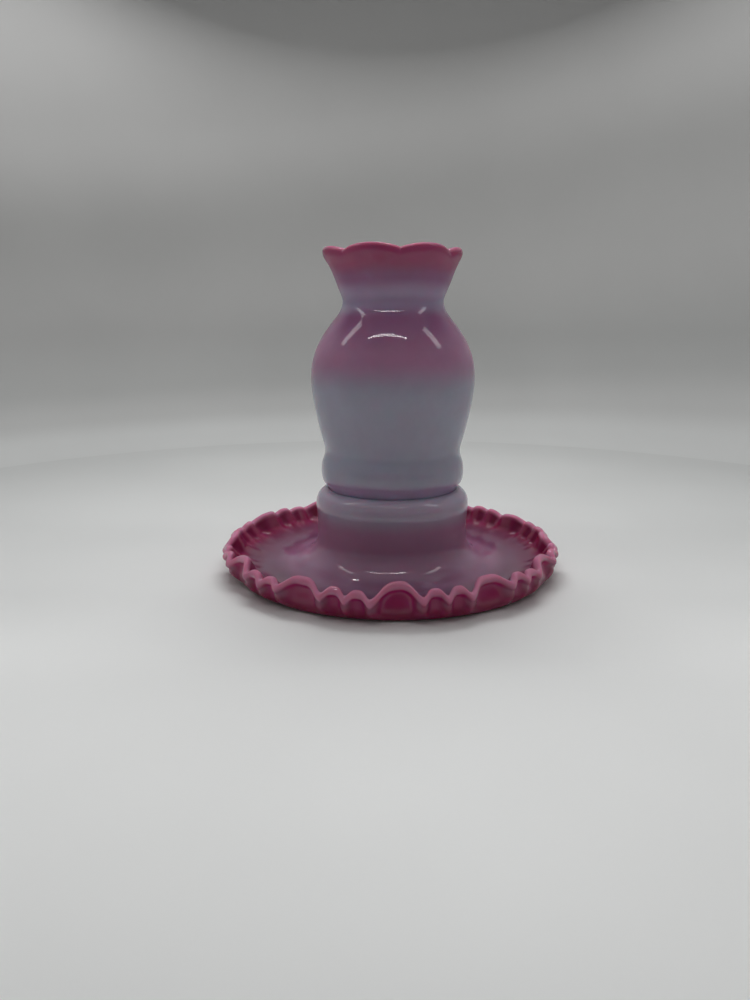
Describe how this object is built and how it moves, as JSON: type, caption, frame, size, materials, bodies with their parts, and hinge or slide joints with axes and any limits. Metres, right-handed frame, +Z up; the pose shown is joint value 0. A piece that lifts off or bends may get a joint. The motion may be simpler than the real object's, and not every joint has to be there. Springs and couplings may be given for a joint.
{
  "type": "glass candle lamp",
  "caption": "Ruffled opal-glass saucer base with a raised collar that holds a lift-off vase-shaped glass shade over a tealight.",
  "frame": {"origin": "on the table surface, on the axis that every piece shares", "axes": "+Z up along that axis, -Y towards the front"},
  "size_m": [0.1768, 0.1768, 0.1646],
  "materials": {
    "rose_glass": "glossy heat-struck opal glass, rose at the ruffled edge and mauve to lavender at the pedestal",
    "lavender_glass": "glossy heat-struck opal glass, lavender blue with a mauve shoulder and a rose mouth",
    "aluminium": "bright drawn foil",
    "tinned_steel": "dull tinned",
    "white_wax": "smooth off-white wax",
    "cotton": "waxed braided cotton"
  },
  "bodies": {
    "base": {"base_saucer": "rose_glass"},
    "shade": {"shade": "lavender_glass"},
    "tealight": {"tealight_cup": "aluminium", "tealight_wax": "white_wax", "wick_tab": "tinned_steel", "wick": "cotton"}
  },
  "joints": [
    {"name": "shade_lift", "type": "slide", "parent": "base", "child": "shade", "axis": [0, 0, 1], "range_m": [0, 0.1]},
    {"name": "tealight_lift", "type": "slide", "parent": "base", "child": "tealight", "axis": [0, 0, 1], "range_m": [0, 0.135]}
  ]
}
